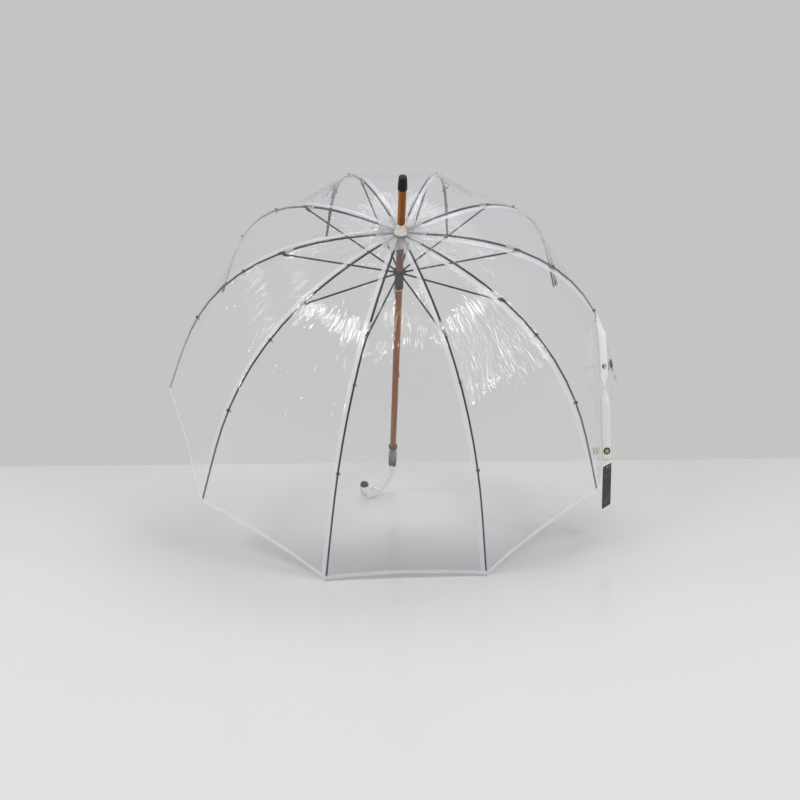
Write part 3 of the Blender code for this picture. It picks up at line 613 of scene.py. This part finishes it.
def add_rosette():
    """The small scalloped patch of film under the cup, one petal over each rib."""
    for index in range(RIBS):
        rows, uvs = [], []
        for step in spread(0, 1, 8):
            row = []
            for share in spread(-0.5, 0.5, 13):
                scallop = ROSETTE_SCALLOP * math.cos(math.pi * share) ** 2
                arc = FILM_START + (ROSETTE_ARC - FILM_START + scallop * step) * step
                row.append(panel_point(index, arc, share, ROSETTE_LIFT))
                uvs.append((index + share, arc))
            rows.append(row)
        shape = (*grid(rows), uvs)
        name, body = numbered("rosette_petal", index), numbered("upper", index)
        petal = add_film_sheet(name, shape, ROSETTE, body, "white_film")
        collapse(petal)
        if index == 0:
            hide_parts("rosette")


# ---------------------------------------------------------------- ribs


def rib_line(index, start, end, count):
    return [on_rib(index, arc) for arc in spread(start, end, count)]


def add_rib_details():
    for index in range(RIBS):
        upper, lower = numbered("upper", index), numbered("lower", index)
        sleeve_line = rib_line(index, *SLEEVE_ARCS, 6)
        sleeve_radii = [SLEEVE_END_RADIUS, *[SLEEVE_RADIUS] * 4, SLEEVE_END_RADIUS]
        sleeve = add_mesh(
            numbered("rib_sleeve", index), *tube(sleeve_line, sleeve_radii, 16), NICKEL, upper, "nickel"
        )
        sharpen(sleeve)
        ties = []
        for arc in TIE_ARCS:
            for turn in (-TIE_TURN_OFFSET, TIE_TURN_OFFSET):
                centre = on_rib(index, arc + turn, 0.0006)
                along = (on_rib(index, arc + 0.002) - on_rib(index, arc - 0.002)).normalized()
                ties.append(ring(centre, along, TIE_RADIUS, TIE_WIRE))
            bow = on_rib(index, arc, -0.0022)
            side = AROUND[index]
            ends = bow - side * 0.004 - UP * 0.0012, bow + side * 0.004 - UP * 0.0018
            ties.append(tube([ends[0], bow, ends[1]], TIE_WIRE, 6))
        add_mesh(numbered("rib_ties", index), *merged(ties), TAPE, lower, "grey_tape")


def ring(centre, axis, radius, wire, sides=18, wire_sides=6):
    first = axis.orthogonal().normalized()
    second = axis.cross(first)
    vertices, faces = [], []
    for k in range(sides):
        angle = 2 * math.pi * k / sides
        out = first * math.cos(angle) + second * math.sin(angle)
        for j in range(wire_sides):
            turn = 2 * math.pi * j / wire_sides
            vertices.append(centre + out * (radius + wire * math.cos(turn)) + axis * (wire * math.sin(turn)))
    for k in range(sides):
        for j in range(wire_sides):
            a = k * wire_sides + j
            b = k * wire_sides + (j + 1) % wire_sides
            c = ((k + 1) % sides) * wire_sides + (j + 1) % wire_sides
            d = ((k + 1) % sides) * wire_sides + j
            faces.append((a, b, c, d))
    return vertices, faces


# ---------------------------------------------------------------- hub, ferrule, handle


def add_hub():
    cup_low, cup_high = 0.0045, 0.021
    wall = 0.0008
    outer = [(0.0065, cup_high), *arc_points((0.0068, cup_high - 0.0006), 0.0006, 90, 0, 5)]
    outline = [(0.0078, 0.93), (0.0080, 0.86), (0.0083, 0.76), (0.0089, 0.63), (0.0099, 0.47)]
    outline += [(0.0110, 0.31), (0.0119, 0.17), (0.0125, 0.06), (0.01272, 0.0)]
    outer += [(radius, cup_low + (cup_high - cup_low) * share) for radius, share in outline]
    inner = [(radius - wall, height) for radius, height in reversed(outer[6:])]
    inner.append((0.0065, cup_high - 0.0016))
    cup = add_mesh("hub_cup", *lathe(outer + inner), NICKEL, "frame", "nickel")
    sharpen(cup)
    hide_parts("canopy_cap")

    top, low = 0.1075, 0.0855
    bore = 0.0063
    profile = [(0, top), (0.0048, top), *arc_points((0.0050, top - 0.0010), 0.0010, 80, 10, 4)]
    profile += [(0.0068, 0.097), (0.0070, 0.0955), (0.0070, low + 0.0028), (0.0072, low + 0.0022)]
    profile += [(0.0072, low + 0.0004), (0.0070, low), (bore, low), (bore, 0.1033), (0, 0.1033)]
    cap = add_mesh("ferrule_end", *lathe(profile), BLACK_PLASTIC, "frame", "black_plastic")
    sharpen(cap)
    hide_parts("ferrule_cap")


def crook_path(steps=44):
    side = Vector((math.sin(CROOK_AZIMUTH), -math.cos(CROOK_AZIMUTH), 0))
    axis = Vector((0, 0, 1))
    points = [axis * z for z in spread(CROOK_TOP, CROOK_STRAIGHT_END + 0.004, 8)]
    for step in range(steps + 1):
        angle = math.pi * step / steps
        across = CROOK_BEND_RADIUS * (1 - math.cos(angle))
        points.append(side * across + axis * (CROOK_STRAIGHT_END - CROOK_BEND_RADIUS * math.sin(angle)))
    end = points[-1]
    points += [end + axis * (CROOK_END_LENGTH * k / 5) for k in range(1, 6)]
    return [local(p) for p in points]


def add_handle():
    path = crook_path()
    fillet = 0.0016
    radii = [CROOK_RADIUS] * len(path)
    last = path[-1]
    before = (path[-1] - path[-2]).normalized()
    path[-1] = last - before * fillet
    for angle in (25, 50, 75, 90):
        turn = math.radians(angle)
        path.append(last - before * fillet * (1 - math.sin(turn)))
        radii.append(CROOK_RADIUS - fillet * (1 - math.cos(turn)))
    sides = 48
    vertices, faces = tube(path, radii, sides, caps=False)
    end_ring = [len(vertices) - sides + k for k in range(sides)]
    faces.append(tuple(end_ring))
    floor_radius = 0.0053
    socket = [(SOCKET_RADIUS, CROOK_TOP), (SOCKET_RADIUS, CORE_SHOULDER)]
    socket += [(floor_radius, CORE_BOTTOM + 0.0014), (0, CORE_BOTTOM - 0.0005)]
    first = path[0]
    start = vertices[0] - first
    rings = []
    for radius, height in socket:
        centre = local((0, 0, height))
        if radius < 1e-6:
            rings.append([len(vertices)] * sides)
            vertices.append(centre)
            continue
        rings.append(list(range(len(vertices), len(vertices) + sides)))
        for k in range(sides):
            vertices.append(centre + (Vector(vertices[k]) - first) * (radius / start.length))
    rings.insert(0, list(range(sides)))
    for above, below in zip(rings, rings[1:]):
        for k in range(sides):
            j = (k + 1) % sides
            corners = list(dict.fromkeys((above[j], above[k], below[k], below[j])))
            faces.append(tuple(corners))
    crook = add_mesh("clear_crook", vertices, faces, CLEAR, "frame", "clear_plastic")
    recalculated(crook)
    sharpen(crook)
    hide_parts("handle_crook")

    floor, bore, rim = -0.604, 0.0063, 0.0091
    core = SOCKET_RADIUS - 0.0003
    top, low = -0.572, -0.5765
    profile = [(bore, top), (rim - 0.0008, top), *arc_points((rim - 0.0008, top - 0.0008), 0.0008, 90, 0, 5)]
    profile += [(rim, top - 0.0018), (0.0086, low), (core, low), (core, CORE_SHOULDER)]
    profile += [(0.0066, -0.634), (0.0050, CORE_BOTTOM + 0.0016)]
    profile += [(0.003, CORE_BOTTOM + 0.0004), (0, CORE_BOTTOM)]
    profile = [(0, floor), (bore, floor)] + profile
    collar = add_mesh("handle_core", *lathe(profile), SMOKED, "frame", "smoked_plastic")
    recalculated(collar)
    sharpen(collar)
    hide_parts("handle_collar")


def recalculated(obj):
    bm = bmesh.new()
    bm.from_mesh(obj.data)
    bmesh.ops.recalc_face_normals(bm, faces=bm.faces)
    bm.to_mesh(obj.data)
    bm.free()
    obj.data.shade_smooth()


# ---------------------------------------------------------------- strap, tag, label


def strap_path(count=49):
    """(point, along, across, out) down the strap."""
    points, outs = [], []
    for step in range(count):
        part = step / (count - 1)
        arc = STRAP_TOP[0] + (STRAP_END[0] - STRAP_TOP[0]) * part
        share = STRAP_TOP[1] + (STRAP_END[1] - STRAP_TOP[1]) * part**STRAP_DRIFT
        lift = STRAP_LIFT + STRAP_STAND_OFF * min(part / STRAP_RISE_PART, 1.0)
        points.append(on_rib(STRAP_GORE, arc, lift).lerp(on_rib(STRAP_GORE + 1, arc, lift), share))
        outs.append(gore_normal(STRAP_GORE, arc))
    places, turns = zip(*STRAP_TURNS)
    frames = []
    for index, point in enumerate(points):
        before, after = points[max(index - 1, 0)], points[min(index + 1, len(points) - 1)]
        along = (after - before).normalized()
        out = (outs[index] - along * outs[index].dot(along)).normalized()
        turn = math.radians(float(np.interp(index / (count - 1), places, turns)))
        out = Matrix.Rotation(turn, 3, along) @ out
        frames.append((point, along, along.cross(out), out))
    return frames


def add_strap():
    frames = strap_path()
    rows = []
    last = len(frames) - 1
    for index, (point, _, across, out) in enumerate(frames):
        row = []
        for side in spread(-1, 1, 9):
            width = STRAP_WIDTH / 2
            pull = 0.0022 * side**2 if index == last else 0.0
            crown = out * (0.0005 * (1 - side * side))
            row.append(point + across * side * width + crown - frames[-1][1] * pull)
        rows.append(row)
    strap = add_mesh("strap_band", *grid(rows), STRAP, None, "white_film")
    thicken(strap, STRAP_THICKNESS)
    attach(strap, "strap")
    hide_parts("closing_strap")


def add_label():
    rows = []
    sewn, free = LABEL_SHARES
    for arc in spread(*LABEL_ARCS, 7):
        row = []
        for share in spread(sewn, free, 7):
            lift = LABEL_LIFT + LABEL_CURL * ((sewn - share) / (sewn - free)) ** 2
            row.append(on_rib(STRAP_GORE, arc, lift).lerp(on_rib(STRAP_GORE + 1, arc, lift), share))
        rows.append(row)
    label = add_mesh("tape_label", *grid(rows), TAPE, None, "grey_tape")
    thicken(label, LABEL_THICKNESS)
    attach(label, "lower_04")
    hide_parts("label_tab")


TAG_TURN = math.radians(56.0)
TAG_SIZE = (0.038, 0.075, 0.0006)
TAG_CORNER = 0.0022
TAG_HOLE_RADIUS = 0.002
TAG_HOLE_FROM_TOP = 0.004
TAG_BANDS = ((0.018, 0.0022), (-0.024, 0.0016), (-0.029, 0.0016))  # height on the card, and its own height
TAG_BAND_REACH = 0.014
TAG_BAND_STAND_OFF = 0.00012


def rounded_outline(width, low, high, corner, steps=5):
    """The outline of a card with round corners, as (x, z)."""
    points = []
    for x, z, start in (
        (width / 2 - corner, high - corner, 0),
        (corner - width / 2, high - corner, 90),
        (corner - width / 2, low + corner, 180),
        (width / 2 - corner, low + corner, 270),
    ):
        points += arc_points((x, z), corner, start, start + 90, steps)
    return points


def add_tag():
    low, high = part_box("swing_tag")
    middle = (low + high) / 2
    side = Vector((math.cos(TAG_TURN), math.sin(TAG_TURN), 0))
    face = side.cross(Vector((0, 0, 1)))
    width, _, thick = TAG_SIZE
    height = high.z - low.z
    outline = rounded_outline(width, -height / 2, height / 2, TAG_CORNER)
    hole_height = height / 2 - TAG_HOLE_FROM_TOP
    hole = arc_points((0, hole_height), TAG_HOLE_RADIUS, 0, 330, 12)

    def card(offset):
        bm = bmesh.new()
        loops = []
        for points in (outline, hole):
            verts = [bm.verts.new(middle + side * x + Vector((0, 0, z)) + face * offset) for x, z in points]
            loops += [bm.edges.new((verts[k], verts[(k + 1) % len(verts)])) for k in range(len(verts))]
        bmesh.ops.triangle_fill(bm, use_beauty=True, edges=loops)
        return bm

    mesh = bpy.data.meshes.new("tag_card")
    bm = card(0)
    bm.to_mesh(mesh)
    bm.free()
    mesh.materials.append(CARD)
    tag = bpy.data.objects.new("tag_card", mesh)
    bpy.context.scene.collection.objects.link(tag)
    thicken(tag, thick)
    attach(tag, "tag")
    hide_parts("swing_tag")
    bands = []
    for sign in (-1, 1):
        surface = face * sign * (thick / 2 + TAG_BAND_STAND_OFF)
        for z, tall in TAG_BANDS:
            rows = []
            for edge in (z - tall / 2, z + tall / 2):
                places = spread(-TAG_BAND_REACH, TAG_BAND_REACH, 5)
                rows.append([middle + side * x * sign + Vector((0, 0, edge)) + surface for x in places])
            bands.append(grid(rows))
    add_mesh("tag_bands", *merged(bands), CARD_BAND, "tag", "card")


# ---------------------------------------------------------------- finishes of the CAD nodes


def finish_frame_nodes():
    finishes = {
        "shaft": WOOD,
        "top_notch": BLACK_PLASTIC,
        "runner": BLACK_PLASTIC,
        "runner_ring": NICKEL,
        "hinge_wire": NICKEL,
        "top_catch": BRASS,
        "bottom_catch": BRASS,
        "snap_socket": SNAP,
        "snap_stud": SNAP,
        "tag_loop": CLEAR,
    }
    prefixes = dict.fromkeys(("rib_upper", "rib_lower", "stretcher"), BLACK_STEEL)
    prefixes["rib_tip"] = NICKEL
    for name, node in frame["nodes"].items():
        finish = finishes.get(name) or prefixes.get(name[:-3])
        if finish is None:
            continue
        node.data.materials.clear()
        node.data.materials.append(finish)


# ---------------------------------------------------------------- camera, light, floor


CAMERA_AZIMUTH = math.radians(0.715)
CAMERA_ELEVATION = math.radians(9.867)
CAMERA_ROLL = math.radians(-0.755)
CAMERA_DISTANCE = 1.6385
CAMERA_TARGET = Vector((0.0087, 0.0, 0.2446))
CAMERA_LENS = 40.553


def add_camera():
    cos_az, sin_az = math.cos(CAMERA_AZIMUTH), math.sin(CAMERA_AZIMUTH)
    cos_el, sin_el = math.cos(CAMERA_ELEVATION), math.sin(CAMERA_ELEVATION)
    back = Vector((sin_az * cos_el, -cos_az * cos_el, sin_el))
    right = Vector((cos_az, sin_az, 0))
    up = back.cross(right)
    turn = Matrix((right, up, back)).transposed() @ Matrix.Rotation(CAMERA_ROLL, 3, "Z")
    data = bpy.data.cameras.new("camera")
    data.sensor_width = 36.0
    data.lens = CAMERA_LENS
    camera = bpy.data.objects.new("camera", data)
    bpy.context.scene.collection.objects.link(camera)
    place = Matrix.Translation(CAMERA_TARGET + back * CAMERA_DISTANCE)
    camera.matrix_world = place @ turn.to_4x4()
    bpy.context.scene.camera = camera


def add_area(name, place, target, size, power):
    data = bpy.data.lights.new(name, "AREA")
    data.shape = "RECTANGLE"
    data.size, data.size_y = size
    data.energy = power
    light = bpy.data.objects.new(name, data)
    bpy.context.scene.collection.objects.link(light)
    way = Vector(target) - Vector(place)
    light.location = place
    light.rotation_euler = way.to_track_quat("-Z", "Y").to_euler()


def add_stage():
    world = bpy.data.worlds.new("studio")
    world.use_nodes = True
    background = world.node_tree.nodes["Background"]
    background.inputs["Color"].default_value = (0.555, 0.555, 0.55, 1)
    background.inputs["Strength"].default_value = 1.0
    bpy.context.scene.world = world
    middle = (0, 0, 0.3)
    for side in (-1, 1):
        left_pane = (-1.5 + 0.17 * side, -1.6 - 0.14 * side, 2.2)
        right_pane = (1.45 + 0.15 * side, -1.65 + 0.12 * side, 2.1)
        add_area(f"window_left_{side + 1}", left_pane, middle, (0.28, 0.44), 7.0)
        add_area(f"window_right_{side + 1}", right_pane, middle, (0.24, 0.38), 5.0)
    add_area("top", (0.3, 0.3, 2.4), middle, (1.6, 1.0), 10)
    add_area("strip_left", (-1.7, -0.5, 0.8), middle, (0.10, 1.2), 4)
    add_area("strip_right", (1.6, -0.9, 0.9), middle, (0.10, 1.2), 4)
    add_area("strip_front", (-0.35, -2.4, 1.6), middle, (0.9, 0.08), 3)
    floor_material, tree, shader = principled("table_top", (0.745, 0.75, 0.76), 0.22)
    tree.links.new(mapped(tree, noise_value(tree, 3.0), 0.18, 0.30), shader.inputs["Roughness"])
    width, front, back = 2.4, -3.0, 0.52
    corners = [(-width, front, 0), (width, front, 0), (width, back, 0), (-width, back, 0)]
    floor = add_mesh("table_top", corners, [(0, 1, 2, 3)], floor_material, smooth=False)
    bpy.context.scene.view_settings.view_transform = "Standard"


# ---------------------------------------------------------------- making


add_camera()
add_stage()
add_film()
add_rosette()
add_rib_details()
add_hub()
add_handle()
add_strap()
add_label()
add_tag()
finish_frame_nodes()
